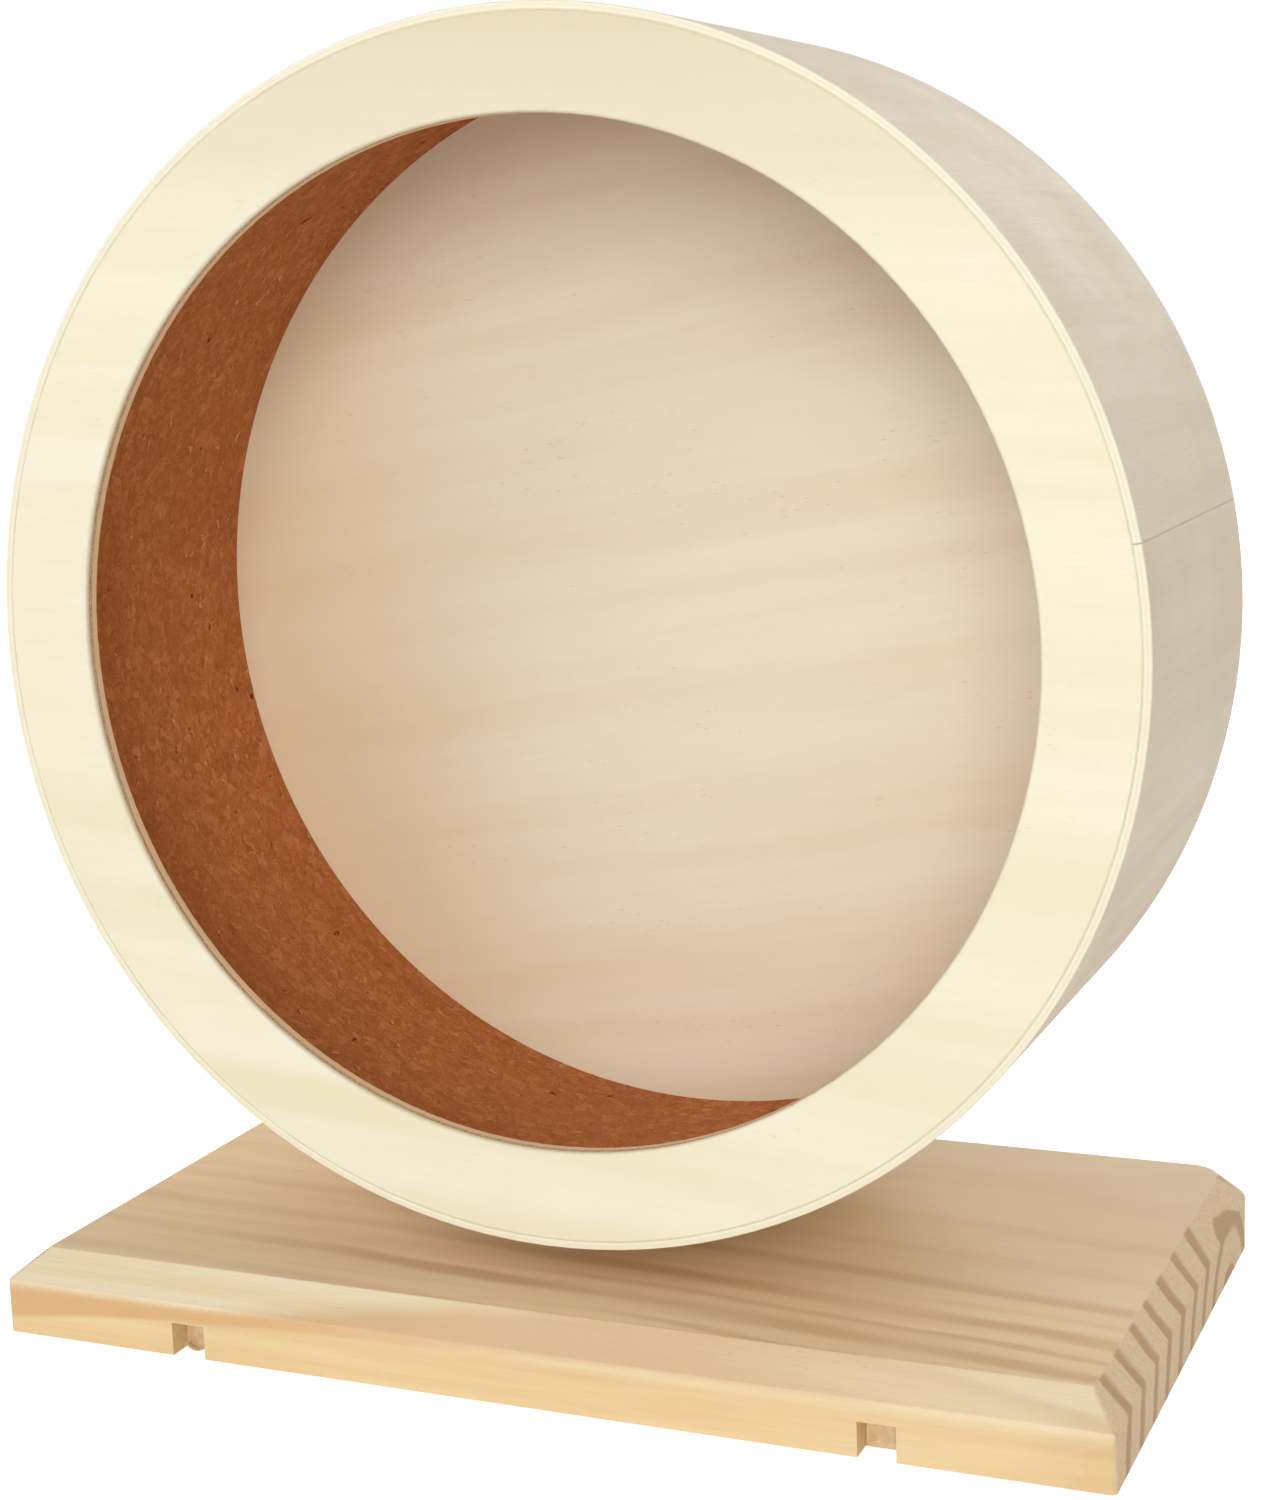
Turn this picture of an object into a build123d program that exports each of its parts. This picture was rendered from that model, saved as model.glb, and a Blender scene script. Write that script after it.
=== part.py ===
from build123d import *
from math import cos, radians
import os

os.makedirs("parts", exist_ok=True)

# Rodent exercise wheel on a wooden stand, in millimetres
# X runs to the right, Y to the rear and Z up
# The origin is on the table, under the middle of the base

# Turning drum
drum_radius = 145.0
drum_depth = 106.0
band_ply = 2.0
band_arris = 0.5
band_seam_angle = 10.25
band_seam_gap = 0.35
cork_thickness = 4.0
cork_seam_angle = 62.0
cork_seam_gap = 0.4
ring_ply = 5.0
lip_width = 24.0
mouth_arris = 0.9
disc_ply = 5.0
joint_arris = 0.35

# Gap in the middle ply of the front ring, seen in the wall of the mouth
void_angle = 215.0
void_half_span = 15.0
void_depth = 2.2
void_from_front = 2.1
void_height = 0.9

# Base
base_width = 285.0
base_depth = 165.0
base_thickness = 20.0
bevel_run = 7.0
front_bevel_run = 9.4
bevel_drop = 6.3
bevel_softening = 0.7
front_corner_radius = 1.5
rear_corner_radius = 13.0
front_top_corner_radius = 1.0
rear_top_corner_radius = 8.0
drum_clearance = 10.5

# Battens let into the underside of the base
batten_spread = 178.0
batten_width = 9.0
batten_height = 8.4
batten_setback = 6.0

# Upright behind the drum
upright_ply = 12.0
upright_foot_width = 84.0
upright_skirt = 26.0
upright_head_radius = 32.0
upright_edge_radius = 1.5
upright_rear_margin = 1.3
housing_depth = 6.0
dowel_radius = 3.0
dowel_spread = 62.0
dowel_in_base = 8.0
dowel_in_upright = 16.0

# Hub behind the back disc
hub_radius = 36.0
hub_arris = 1.0
hub_cover_ply = 2.5
bearing_shoulder = 2.3
head_clearance = 0.7
running_gap = 1.0

# Axle bolt with its washers and lock nut
bolt_radius = 3.0
bolt_head_flats = 10.0
bolt_head_height = 4.0
bolt_spare = 3.0
shim_thickness = 0.5
clamp_margin = 0.2
washer_radius = 9.0
washer_thickness = 1.6
counterbore_depth = 3.0
counterbore_slack = 0.6
nut_flats = 10.0
nut_hex_height = 4.6
nut_collar_height = 1.4
nut_collar_step = 0.4
nylon_wall = 0.7
nylon_height = 1.2
hex_corner_cut = 0.4

# Ball bearing
bearing_radius = 9.5
bearing_width = 6.0
outer_land_radius = 7.5
inner_land_radius = 5.0
ball_radius = 1.75
ball_count = 7
shield_seat_step = 0.5
shield_thickness = 0.3
shield_recess = 0.2
race_chamfer = 0.3
cage_land_gap = 0.6
cage_side_gap = 0.2

# Wood screws in the hub
hub_screw_count = 4
hub_screw_circle = 24.0
hub_screw_head_radius = 3.0
hub_screw_head_height = 1.7
hub_screw_radius = 1.5
hub_screw_bite = 2.3
hub_screw_tip = 3.0
hub_screw_recess_span = 3.0

# Wood screws up through the base into the upright
foot_screw_spread = 30.0
foot_screw_head_radius = 4.0
foot_screw_head_height = 2.3
foot_screw_radius = 2.0
foot_screw_length = 35.0
foot_screw_tip = 4.0
foot_screw_recess_span = 4.2
foot_screw_sink = 0.6

# Cross recess of a screw head
recess_slot = 0.9
recess_depth = 1.1

# Clearances
glue_gap = 0.05
shaft_fit = 0.03
seat_fit = 0.02
groove_fit = 0.06
pocket_fit = 0.08
shield_gap = 0.2
bolt_hole_slack = 0.15

# How closely an edge has to match when it is picked out by its size or place
tolerance = 0.001

# Places worked out from the sizes above
axle_height = base_thickness + drum_clearance + drum_radius
band_inner_radius = drum_radius - band_ply
mouth_radius = drum_radius - lip_width
lining_radius = band_inner_radius - cork_thickness
panel_radius = band_inner_radius - glue_gap
disc_front = drum_depth - disc_ply
head_front = drum_depth + head_clearance
shim_front = head_front + bolt_head_height
bearing_front = shim_front + shim_thickness
bearing_rear = bearing_front + bearing_width
cover_rear = bearing_rear + hub_cover_ply
upright_front = cover_rear + running_gap
upright_rear = upright_front + upright_ply
washer_front = upright_rear - counterbore_depth
nut_front = washer_front + washer_thickness
nut_rear = nut_front + nut_hex_height + nut_collar_height
bolt_end = nut_rear + bolt_spare
drum_front = base_depth / 2 - bevel_run - upright_rear_margin - upright_rear
upright_middle = drum_front + (upright_front + upright_rear) / 2
housing_floor = base_thickness - housing_depth
hub_opening_radius = bearing_radius - bearing_shoulder
clamp_radius = inner_land_radius - clamp_margin
ball_pitch_radius = (inner_land_radius + outer_land_radius) / 2
shield_seat_radius = outer_land_radius + shield_seat_step
cage_width = bearing_width - 2 * (shield_recess + shield_thickness + cage_side_gap)
nut_collar_radius = nut_flats / 2 - nut_collar_step
nylon_radius = nut_collar_radius - nylon_wall
hub_screw_length = cover_rear - drum_depth + hub_screw_bite


def disc(radius, thickness):
    return Cylinder(radius, thickness, align=(Align.CENTER, Align.CENTER, Align.MIN))


def tube(outer_radius, inner_radius, length):
    return disc(outer_radius, length) - disc(inner_radius, length)


def standing_box(width, depth, height):
    return Box(width, depth, height, align=(Align.CENTER, Align.CENTER, Align.MIN))


def turned(points):
    """A solid turned about Z from points that give the radius and the height."""
    outline = Polyline(*[(radius, 0, height) for radius, height in points], close=True)
    return revolve(make_face(outline), Axis.Z)


def on_axle(shape, from_front=0.0):
    """Lay a shape built along Z on the axle, at its distance from the drum's front."""
    return Pos(0, drum_front + from_front, axle_height) * Rot(-90, 0, 0) * shape


def at_angle(angle, shape):
    """Turn a shape to an angle that is measured from the right towards the top."""
    return Rot(0, 0, -angle) * shape


def around(count, radius, shape):
    return [at_angle(360 * n / count, Pos(radius, 0, 0) * shape) for n in range(count)]


def rims(solid, radius, height):
    """The round edges of one radius at one height."""
    circles = solid.edges().filter_by(GeomType.CIRCLE)
    level = circles.filter_by(lambda edge: abs(edge.arc_center.Z - height) < tolerance)
    return level.filter_by(lambda edge: abs(edge.radius - radius) < tolerance)


def level_edges(solid):
    """The edges whose two ends are at the same height."""
    return solid.edges().filter_by(lambda edge: abs((edge @ 0 - edge @ 1).Z) < tolerance)


def save(shape, node):
    export_step(shape, f"parts/{node}.step")


def save_group(shapes, node):
    save(Compound(children=[solid for shape in shapes for solid in shape.solids()]), node)


# Wood screws

def screw_blank(head_radius, head_height, radius, length, tip, growth=0.0):
    """A countersunk screw with its head at Z 0 and its tip upwards."""
    points = [
        (0, 0),
        (head_radius + growth, 0),
        (radius + growth, head_height),
        (radius + growth, length - tip),
        (0, length + growth),
    ]
    return turned(points)


def cross_recess(span):
    slot = Box(span, recess_slot, 2 * recess_depth)
    return slot + Rot(0, 0, 90) * slot


def hub_screw(growth=0.0):
    head = (hub_screw_head_radius, hub_screw_head_height)
    shank = (hub_screw_radius, hub_screw_length, hub_screw_tip)
    return Rot(180, 0, 0) * screw_blank(*head, *shank, growth)


def foot_screw(growth=0.0):
    head = (foot_screw_head_radius, foot_screw_head_height)
    shank = (foot_screw_radius, foot_screw_length, foot_screw_tip)
    return screw_blank(*head, *shank, growth)


def hub_screw_places(shape):
    return [Pos(0, 0, cover_rear) * one for one in around(hub_screw_count, hub_screw_circle, shape)]


# Drum shell

def seam(angle, gap, outer_radius, wall):
    cut = Box(3 * wall, gap, 3 * drum_depth)
    return at_angle(angle, Pos(outer_radius - wall / 2, 0, 0) * cut)


def make_drum_band():
    band = tube(drum_radius, band_inner_radius, drum_depth)
    for height in (0, drum_depth):
        band = fillet(rims(band, drum_radius, height), band_arris)
        band = chamfer(rims(band, band_inner_radius, height), joint_arris)
    return band - seam(band_seam_angle, band_seam_gap, drum_radius, band_ply)


def core_void():
    """A flat lens that cuts the wall of the mouth over a short arc."""
    deepest = mouth_radius + void_depth
    chord = mouth_radius * cos(radians(void_half_span))
    offset = (deepest**2 - mouth_radius**2) / (2 * (deepest - chord))
    lens = Pos(offset, 0, void_from_front) * disc(deepest - offset, void_height)
    return at_angle(void_angle, lens)


def make_front_ring():
    ring = tube(panel_radius, mouth_radius, ring_ply)
    ring = fillet(rims(ring, mouth_radius, 0), mouth_arris)
    ring = chamfer(rims(ring, mouth_radius, ring_ply), joint_arris)
    ring = chamfer(rims(ring, panel_radius, 0), joint_arris)
    return ring - core_void()


def make_cork_lining():
    length = disc_front - ring_ply - 2 * glue_gap
    lining = tube(panel_radius, lining_radius, length)
    return lining - seam(cork_seam_angle, cork_seam_gap, panel_radius, cork_thickness)


def make_back_disc():
    panel = disc(panel_radius, disc_ply)
    panel = chamfer(rims(panel, panel_radius, disc_ply), joint_arris)
    for hole in hub_screw_places(hub_screw(seat_fit)):
        panel -= Pos(0, 0, -disc_front) * hole
    return panel


# Hub

def make_hub_block():
    block = disc(hub_radius, bearing_rear - drum_depth)
    block -= disc(hub_opening_radius, bearing_rear - drum_depth)
    block -= Pos(0, 0, bearing_front - drum_depth) * disc(bearing_radius + seat_fit, bearing_width)
    for hole in hub_screw_places(hub_screw(seat_fit)):
        block -= Pos(0, 0, -drum_depth) * hole
    return block


def make_hub_cover():
    cover = tube(hub_radius, hub_opening_radius, hub_cover_ply)
    cover = fillet(rims(cover, hub_radius, hub_cover_ply), hub_arris)
    for hole in hub_screw_places(hub_screw(seat_fit)):
        cover -= Pos(0, 0, -bearing_rear) * hole
    return cover


# Ball bearing

def ball_groove():
    return Pos(0, 0, bearing_width / 2) * Torus(ball_pitch_radius, ball_radius + groove_fit)


def make_outer_race():
    race = turned(
        [
            (outer_land_radius, 0),
            (bearing_radius - race_chamfer, 0),
            (bearing_radius, race_chamfer),
            (bearing_radius, bearing_width - race_chamfer),
            (bearing_radius - race_chamfer, bearing_width),
            (outer_land_radius, bearing_width),
        ]
    )
    seat = disc(shield_seat_radius, shield_recess + shield_thickness)
    race -= seat
    race -= Pos(0, 0, bearing_width - shield_recess - shield_thickness) * seat
    return race - ball_groove()


def make_inner_race():
    race = turned(
        [
            (bolt_radius + race_chamfer, 0),
            (inner_land_radius, 0),
            (inner_land_radius, bearing_width),
            (bolt_radius + race_chamfer, bearing_width),
            (bolt_radius, bearing_width - race_chamfer),
            (bolt_radius, race_chamfer),
        ]
    )
    return race - ball_groove()


def make_shields():
    shield = tube(shield_seat_radius - seat_fit, inner_land_radius + shield_gap, shield_thickness)
    far_side = bearing_width - shield_recess - shield_thickness
    return [Pos(0, 0, shield_recess) * shield, Pos(0, 0, far_side) * shield]


def make_balls():
    return around(ball_count, ball_pitch_radius, Pos(0, 0, bearing_width / 2) * Sphere(ball_radius))


def make_cage():
    ring = tube(outer_land_radius - cage_land_gap, inner_land_radius + cage_land_gap, cage_width)
    cage = Pos(0, 0, (bearing_width - cage_width) / 2) * ring
    pocket = Rot(0, 90, 0) * Cylinder(ball_radius + pocket_fit, 2 * ball_radius)
    for hole in around(ball_count, ball_pitch_radius, Pos(0, 0, bearing_width / 2) * pocket):
        cage -= hole
    return cage


# Axle

def hexagon_prism(flats, height):
    """A hexagon with the corners of its far face turned off."""
    prism = extrude(RegularPolygon(flats / 2, 6, major_radius=False), height)
    corner = flats / 2 / cos(radians(30))
    blank = disc(corner, height)
    return prism & chamfer(rims(blank, corner, height), hex_corner_cut)


def make_axle_bolt():
    head = Pos(0, 0, bolt_head_height) * Rot(180, 0, 0) * hexagon_prism(bolt_head_flats, bolt_head_height)
    shank_radius = bolt_radius - shaft_fit
    shank_length = bolt_end - head_front
    shank = chamfer(rims(disc(shank_radius, shank_length), shank_radius, shank_length), hex_corner_cut)
    return head + shank


def make_washer(radius, thickness):
    return tube(radius, bolt_radius, thickness)


def make_lock_nut():
    collar = Pos(0, 0, nut_hex_height) * disc(nut_collar_radius, nut_collar_height)
    collar = chamfer(rims(collar, nut_collar_radius, nut_hex_height + nut_collar_height), hex_corner_cut)
    nut = hexagon_prism(nut_flats, nut_hex_height) + collar
    nut -= disc(bolt_radius, nut_hex_height + nut_collar_height)
    seat = nut_hex_height + nut_collar_height - nylon_height
    return nut - Pos(0, 0, seat) * disc(nylon_radius, nylon_height)


def make_nylon_collar():
    return tube(nylon_radius - seat_fit, bolt_radius, nylon_height)


# Stand

def plan(inset, front_inset, front_radius, rear_radius):
    """The outline of the board from above, with its four corners rounded."""
    outline = Rectangle(base_width - 2 * inset, base_depth - inset - front_inset)
    outline = Pos(0, (front_inset - inset) / 2) * outline
    outline = fillet(outline.vertices().group_by(Axis.Y)[0], front_radius)
    return fillet(outline.vertices().group_by(Axis.Y)[-1], rear_radius)


def foot_screw_places(shape):
    return [Pos(side * foot_screw_spread / 2, upright_middle, foot_screw_sink) * shape for side in (-1, 1)]


def dowel_places(shape):
    bottom = housing_floor - dowel_in_base
    return [Pos(side * dowel_spread / 2, upright_middle, bottom) * shape for side in (-1, 1)]


def dowel_hole():
    return disc(dowel_radius + seat_fit, dowel_in_base + dowel_in_upright + glue_gap)


def make_base_board():
    shoulder = base_thickness - bevel_drop
    lower = plan(0, 0, front_corner_radius, rear_corner_radius)
    upper = plan(bevel_run, front_bevel_run, front_top_corner_radius, rear_top_corner_radius)
    bevelled = loft([Pos(0, 0, shoulder) * lower, Pos(0, 0, base_thickness) * upper], ruled=True)
    board = extrude(lower, shoulder) + bevelled
    bevel_edges = level_edges(board).filter_by(lambda edge: edge.center().Z > shoulder - tolerance)
    board = fillet(bevel_edges, bevel_softening)
    groove = standing_box(batten_width + 2 * glue_gap, base_depth, batten_height + glue_gap)
    for side in (-1, 1):
        board -= Pos(side * batten_spread / 2, 0, 0) * groove
    housing = standing_box(upright_foot_width + 2 * glue_gap, upright_ply + 2 * glue_gap, housing_depth)
    board -= Pos(0, upright_middle, housing_floor) * housing
    for hole in dowel_places(dowel_hole()):
        board -= hole
    well = disc(foot_screw_head_radius + seat_fit, foot_screw_sink)
    for hole in foot_screw_places(foot_screw(seat_fit)):
        board -= hole
    for hole in foot_screw_places(Pos(0, 0, -foot_screw_sink) * well):
        board -= hole
    return board


def make_batten():
    batten = standing_box(batten_width, base_depth - 2 * batten_setback, batten_height)
    return chamfer(batten.faces().sort_by(Axis.Y)[0].edges(), joint_arris)


def make_upright():
    foot = Rectangle(upright_foot_width, upright_skirt + housing_depth)
    foot = Pos(0, (upright_skirt - housing_depth) / 2) * foot
    head = Pos(0, axle_height - base_thickness) * Circle(upright_head_radius)
    outline = make_hull(foot.edges() + head.edges())
    board = extrude(outline, upright_ply)
    above_foot = level_edges(board).filter_by(lambda edge: edge.center().Y > tolerance - housing_depth)
    board = fillet(above_foot, upright_edge_radius)
    axle = Pos(0, axle_height - base_thickness, 0)
    board -= axle * disc(bolt_radius + bolt_hole_slack, upright_ply)
    board -= axle * disc(washer_radius + counterbore_slack, counterbore_depth)
    board = Pos(0, drum_front + upright_rear, base_thickness) * Rot(90, 0, 0) * board
    for hole in dowel_places(dowel_hole()):
        board -= hole
    for hole in foot_screw_places(foot_screw(seat_fit)):
        board -= hole
    return board


# Write every piece

save(on_axle(make_drum_band()), "drum_band")
save(on_axle(make_front_ring()), "front_ring")
save(on_axle(make_cork_lining(), ring_ply + glue_gap), "cork_lining")
save(on_axle(make_back_disc(), disc_front), "back_disc")
save(on_axle(make_hub_block(), drum_depth), "hub_block")
save(on_axle(make_hub_cover(), bearing_rear), "hub_cover")
hub_screw_solid = hub_screw() - cross_recess(hub_screw_recess_span)
save_group([on_axle(one) for one in hub_screw_places(hub_screw_solid)], "hub_screws")

save(on_axle(make_outer_race(), bearing_front), "bearing_outer_race")
save(on_axle(make_inner_race(), bearing_front), "bearing_inner_race")
save_group([on_axle(one, bearing_front) for one in make_shields()], "bearing_shields")
save_group([on_axle(one, bearing_front) for one in make_balls()], "bearing_balls")
save(on_axle(make_cage(), bearing_front), "bearing_cage")

save(on_axle(make_axle_bolt(), head_front), "axle_bolt")
save(on_axle(make_washer(clamp_radius, shim_thickness), shim_front), "head_shim")
save(on_axle(make_washer(clamp_radius, upright_front - bearing_rear), bearing_rear), "axle_spacer")
save(on_axle(make_washer(washer_radius, washer_thickness), washer_front), "rear_washer")
save(on_axle(make_lock_nut(), nut_front), "lock_nut")
save(on_axle(make_nylon_collar(), nut_rear - nylon_height), "lock_nut_collar")

save(make_base_board(), "base_board")
save(Pos(-batten_spread / 2, 0, 0) * make_batten(), "batten_left")
save(Pos(batten_spread / 2, 0, 0) * make_batten(), "batten_right")
save(make_upright(), "upright")
dowel = disc(dowel_radius, dowel_in_base + dowel_in_upright)
save_group(dowel_places(dowel), "upright_dowels")
foot_screw_solid = foot_screw() - cross_recess(foot_screw_recess_span)
save_group(foot_screw_places(foot_screw_solid), "upright_screws")
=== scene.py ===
import math

import bmesh
import bpy
from mathutils import Matrix, Vector


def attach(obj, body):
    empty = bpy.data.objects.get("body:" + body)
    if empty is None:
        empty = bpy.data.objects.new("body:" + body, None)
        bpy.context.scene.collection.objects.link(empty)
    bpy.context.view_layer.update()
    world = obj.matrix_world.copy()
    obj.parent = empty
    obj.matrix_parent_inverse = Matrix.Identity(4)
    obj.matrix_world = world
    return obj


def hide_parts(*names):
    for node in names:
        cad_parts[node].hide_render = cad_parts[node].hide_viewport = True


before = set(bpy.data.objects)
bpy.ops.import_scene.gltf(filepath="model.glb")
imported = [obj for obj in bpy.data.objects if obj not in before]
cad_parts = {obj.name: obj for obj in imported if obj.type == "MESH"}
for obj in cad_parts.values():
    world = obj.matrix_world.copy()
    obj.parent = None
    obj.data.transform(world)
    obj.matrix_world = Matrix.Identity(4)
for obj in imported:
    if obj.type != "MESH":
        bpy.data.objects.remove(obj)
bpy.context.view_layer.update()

MM = 0.001

# Places taken from the part, in millimetres
axle_height = 175.5
drum_front = -58.5
drum_rear = 47.5
drum_radius = 145.0
band_inside = 143.0
band_seam_angle = 10.25
cork_outside = 142.95
cork_inside = 139.0
cork_front = -53.45
cork_rear = 42.45
cork_seam_angle = 62.0
cork_seam_gap = 0.4
mouth_radius = 121.0
ring_ply = 5.0
disc_front = 42.5
upright_front = 62.2
upright_ply = 12.0
cover_front = 58.7
base_half_width = 142.5
base_flat_half_width = 135.5
base_thickness = 20.0
bevel_rear = -73.1
bevel_slope = 0.9
batten_half_spread = 89.0
batten_front = -76.5


def srgb(red, green, blue):
    """A colour given as 0 to 255 for the screen, as the linear values a shader takes."""
    def linear(value):
        value = value / 255
        if value <= 0.04045:
            return value / 12.92
        return ((value + 0.055) / 1.055) ** 2.4
    return (linear(red), linear(green), linear(blue), 1.0)


# Node work

class Bench:
    """Adds nodes to one tree. An input is a socket, a number or a colour."""

    def __init__(self, tree):
        self.tree = tree

    def put(self, socket, value):
        if isinstance(value, bpy.types.NodeSocket):
            self.tree.links.new(value, socket)
        elif value is not None:
            socket.default_value = value

    def add(self, kind, **settings):
        node = self.tree.nodes.new(kind)
        for name, value in settings.items():
            setattr(node, name, value)
        return node

    def math(self, operation, a, b=None, c=None, clamp=False):
        node = self.add("ShaderNodeMath", operation=operation, use_clamp=clamp)
        for socket, value in zip(node.inputs, (a, b, c)):
            self.put(socket, value)
        return node.outputs[0]

    def vector(self, operation, a, b=None):
        node = self.add("ShaderNodeVectorMath", operation=operation)
        self.put(node.inputs[0], a)
        if b is not None:
            self.put(node.inputs[3 if operation == "SCALE" else 1], b)
        return node.outputs["Value" if operation in ("LENGTH", "DISTANCE") else "Vector"]

    def combine(self, x=0.0, y=0.0, z=0.0):
        node = self.add("ShaderNodeCombineXYZ")
        for socket, value in zip(node.inputs, (x, y, z)):
            self.put(socket, value)
        return node.outputs[0]

    def split(self, vector):
        node = self.add("ShaderNodeSeparateXYZ")
        self.put(node.inputs[0], vector)
        return node.outputs[0], node.outputs[1], node.outputs[2]

    def noise(self, vector, scale=1.0, detail=3.0, roughness=0.5):
        node = self.add("ShaderNodeTexNoise")
        self.put(node.inputs["Vector"], vector)
        self.put(node.inputs["Scale"], scale)
        self.put(node.inputs["Detail"], detail)
        self.put(node.inputs["Roughness"], roughness)
        return node.outputs[0]

    def cells(self, vector, scale=1.0, feature="F1"):
        node = self.add("ShaderNodeTexVoronoi", feature=feature)
        self.put(node.inputs["Vector"], vector)
        self.put(node.inputs["Scale"], scale)
        return node

    def fade(self, value, low, high, to_low=0.0, to_high=1.0):
        """Runs smoothly from to_low where value is at low, to to_high where it is at high."""
        node = self.add("ShaderNodeMapRange", interpolation_type="SMOOTHSTEP")
        for name, given in (
            ("Value", value), ("From Min", low), ("From Max", high), ("To Min", to_low), ("To Max", to_high),
        ):
            self.put(node.inputs[name], given)
        return node.outputs[0]

    def mix(self, factor, a, b, blend="MIX"):
        node = self.add("ShaderNodeMix", data_type="RGBA", blend_type=blend)
        self.put(node.inputs[0], factor)
        self.put(node.inputs[6], a)
        self.put(node.inputs[7], b)
        return node.outputs[2]

    def ramp(self, factor, *stops):
        node = self.add("ShaderNodeValToRGB")
        self.put(node.inputs[0], factor)
        elements = node.color_ramp.elements
        while len(elements) < len(stops):
            elements.new(0.5)
        for element, (place, colour) in zip(elements, stops):
            element.position = place
            element.color = colour
        return node.outputs[0]

    def group(self, tree, **inputs):
        node = self.add("ShaderNodeGroup", node_tree=tree)
        for name, value in inputs.items():
            self.put(node.inputs[name.replace("_", " ")], value)
        return node.outputs


def node_group(name, inputs, outputs):
    """A shader node group with named sockets, each a (name, kind, start value)."""
    tree = bpy.data.node_groups.new(name, "ShaderNodeTree")
    for label, kind, start in inputs:
        socket = tree.interface.new_socket(name=label, in_out="INPUT", socket_type="NodeSocket" + kind)
        if start is not None:
            socket.default_value = start
    for label, kind in outputs:
        tree.interface.new_socket(name=label, in_out="OUTPUT", socket_type="NodeSocket" + kind)
    bench = Bench(tree)
    return tree, bench, bench.add("NodeGroupInput").outputs, bench.add("NodeGroupOutput").inputs


# Groups that several finishes share

def make_millimetres():
    """Object places in millimetres, turned in the plane of X and Z, with the axle or the table as zero height."""
    tree, bench, given, out = node_group(
        "Millimetres",
        [("Place", "Vector", None), ("Height", "Float", 0.0), ("Turn", "Float", 0.0)],
        [("Vector", "Vector"), ("Radius", "Float")],
    )
    scaled = bench.vector("SCALE", given["Place"], 1 / MM)
    lowered = bench.vector("SUBTRACT", scaled, bench.combine(0.0, 0.0, given["Height"]))
    turn = bench.add("ShaderNodeVectorRotate", rotation_type="Y_AXIS")
    bench.put(turn.inputs["Vector"], lowered)
    bench.put(turn.inputs["Angle"], given["Turn"])
    bench.put(out["Vector"], turn.outputs[0])
    x, _, z = bench.split(lowered)
    bench.put(out["Radius"], bench.vector("LENGTH", bench.combine(x, 0.0, z)))
    return tree


def make_unrolled():
    """Places round the axle laid out flat: the way round from the seam, the way across, and the radius."""
    tree, bench, given, out = node_group(
        "Unrolled round the axle",
        [("Vector", "Vector", None), ("Seam angle", "Float", 0.0)],
        [("Vector", "Vector"), ("From seam", "Float"), ("Radius", "Float")],
    )
    turn = bench.add("ShaderNodeVectorRotate", rotation_type="Y_AXIS")
    bench.put(turn.inputs["Vector"], given["Vector"])
    bench.put(turn.inputs["Angle"], bench.math("RADIANS", given["Seam angle"]))
    x, y, z = bench.split(turn.outputs[0])
    angle = bench.math("ARCTAN2", bench.math("MULTIPLY", z, -1.0), bench.math("MULTIPLY", x, -1.0))
    radius = bench.vector("LENGTH", bench.combine(x, 0.0, z))
    along = bench.math("MULTIPLY", angle, drum_radius)
    bench.put(out["Vector"], bench.combine(along, y, radius))
    left_over = bench.math("SUBTRACT", math.pi, bench.math("ABSOLUTE", angle))
    bench.put(out["From seam"], bench.math("MULTIPLY", left_over, drum_radius))
    bench.put(out["Radius"], radius)
    return tree


def make_fibres():
    """Wood fibres that run along X: broad soft streaks, fine lines, and short dark pores."""
    tree, bench, given, out = node_group(
        "Wood fibres",
        [("Vector", "Vector", None), ("Streak width", "Float", 6.0), ("Fibre width", "Float", 0.5),
         ("Wander", "Float", 3.0)],
        [("Streaks", "Float"), ("Fibres", "Float"), ("Pores", "Float")],
    )
    drift = bench.noise(bench.vector("MULTIPLY", given["Vector"], (0.006, 0.02, 0.02)), 1.0, 2.0)
    shift = bench.math("MULTIPLY", bench.math("SUBTRACT", drift, 0.5), given["Wander"])
    bent = bench.vector("ADD", given["Vector"], bench.combine(0.0, shift, shift))
    broad = bench.vector("MULTIPLY", bent, (0.045, 1.0, 1.0))
    fine = bench.vector("MULTIPLY", bent, (0.03, 1.0, 1.0))
    bench.put(out["Streaks"], bench.noise(broad, bench.math("DIVIDE", 1.0, given["Streak width"]), 4.0, 0.55))
    bench.put(out["Fibres"], bench.noise(fine, bench.math("DIVIDE", 1.0, given["Fibre width"]), 3.0, 0.6))
    dashes = bench.cells(bench.vector("MULTIPLY", bent, (0.16, 1.1, 1.1)), 0.9)
    dots = bench.fade(dashes.outputs["Distance"], 0.05, 0.17, 1.0, 0.0)
    chosen = bench.fade(bench.noise(bench.vector("MULTIPLY", bent, (0.02, 0.1, 0.1)), 1.0, 2.0), 0.5, 0.62)
    bench.put(out["Pores"], bench.math("MULTIPLY", dots, chosen))
    return tree


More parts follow.
